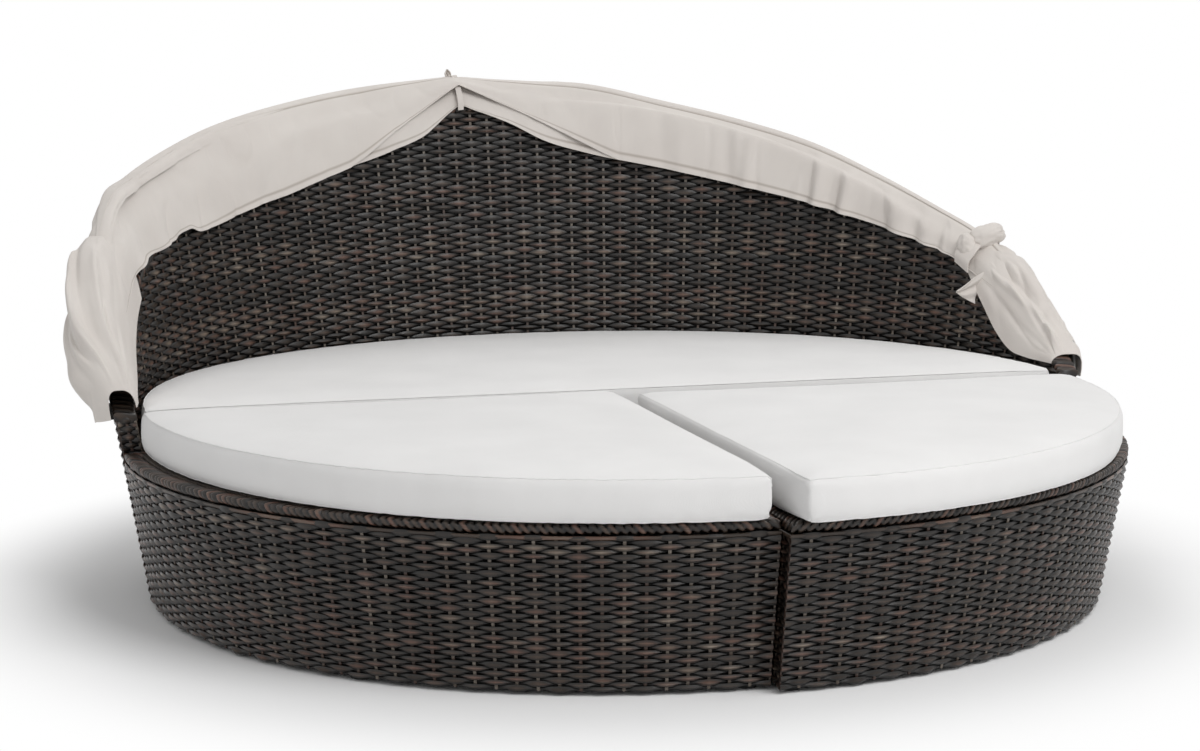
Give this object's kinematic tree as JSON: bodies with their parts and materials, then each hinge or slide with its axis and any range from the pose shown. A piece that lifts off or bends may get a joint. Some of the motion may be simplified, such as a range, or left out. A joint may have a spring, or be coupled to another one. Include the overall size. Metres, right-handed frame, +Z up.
{
  "type": "outdoor daybed with canopy",
  "caption": "Round woven daybed in separable modules: a curved high-backed half, wedge footstools with thick cushions, and a fabric canopy on hinged bows folded behind the back.",
  "frame": {"origin": "centre of the underside of the back half's middle front foot, on the floor", "axes": "+X towards the sitter's left-hand arm seen from the front as the right arm, +Y towards the high back, +Z up"},
  "size_m": [2.3064, 2.2342, 1.0149],
  "materials": {
    "wicker": "flat woven synthetic strands, dark grey-brown, streaked",
    "cushion": "plain off-white outdoor canvas",
    "canopy": "pale grey-beige canvas, creased",
    "frame": "dark powder coat",
    "bow": "satin tube",
    "bolt": "zinc plated",
    "glide": "moulded black foot"
  },
  "bodies": {
    "sofa_back": {"back_outer_wicker": "wicker", "back_inner_wicker": "wicker", "back_front_wicker": "wicker", "back_rim_wrap": "wicker", "back_deck": "wicker", "back_frame": "frame", "back_middle_glide": "glide", "back_right_glide": "glide", "back_far_right_glide": "glide", "back_far_left_glide": "glide", "back_left_glide": "glide", "back_cushion": "cushion", "rear_bow": "bow", "left_pivot_boss": "frame", "left_pivot_bolt": "bolt", "right_pivot_boss": "frame", "right_pivot_bolt": "bolt", "rear_bow_right_clip": "bow", "rear_bow_middle_clip": "bow", "rear_bow_left_clip": "bow", "canopy_cloth": "canopy", "left_sleeve": "canopy", "right_sleeve": "canopy"},
    "canopy_middle": {"middle_bow": "bow"},
    "canopy_front": {"front_bow": "bow", "canopy_flap": "canopy", "right_tie": "canopy"},
    "footstool_left": {"front_left_curved_wicker": "wicker", "front_left_rear_wicker": "wicker", "front_left_side_wicker": "wicker", "front_left_border": "wicker", "front_left_deck": "wicker", "front_left_frame": "frame", "front_left_glide_1": "glide", "front_left_glide_2": "glide", "front_left_glide_3": "glide", "front_left_glide_4": "glide", "front_left_cushion": "cushion"},
    "footstool_right": {"front_right_curved_wicker": "wicker", "front_right_rear_wicker": "wicker", "front_right_side_wicker": "wicker", "front_right_border": "wicker", "front_right_deck": "wicker", "front_right_frame": "frame", "front_right_glide_1": "glide", "front_right_glide_2": "glide", "front_right_glide_3": "glide", "front_right_glide_4": "glide", "front_right_cushion": "cushion"}
  },
  "joints": [
    {"name": "canopy_fold", "type": "hinge", "parent": "sofa_back", "child": "canopy_front", "pos_m": [0, 0.025, 0.394], "axis": [1, 0, 0], "range_deg": [0, 114], "deforming": ["canopy_cloth", "canopy_flap", "left_sleeve", "right_sleeve", "right_tie"]},
    {"name": "middle_bow_fold", "type": "hinge", "parent": "sofa_back", "child": "canopy_middle", "pos_m": [0, 0.025, 0.394], "axis": [1, 0, 0], "range_deg": [0, 57]},
    {"name": "footstool_left_slide", "type": "slide", "parent": "sofa_back", "child": "footstool_left", "axis": [0, -1, 0], "range_m": [0, 0.6]},
    {"name": "footstool_right_slide", "type": "slide", "parent": "sofa_back", "child": "footstool_right", "axis": [0, -1, 0], "range_m": [-0.033, 0.6]}
  ],
  "couplings": [
    {"joint": "middle_bow_fold", "follows": "canopy_fold", "ratio": 0.5}
  ]
}
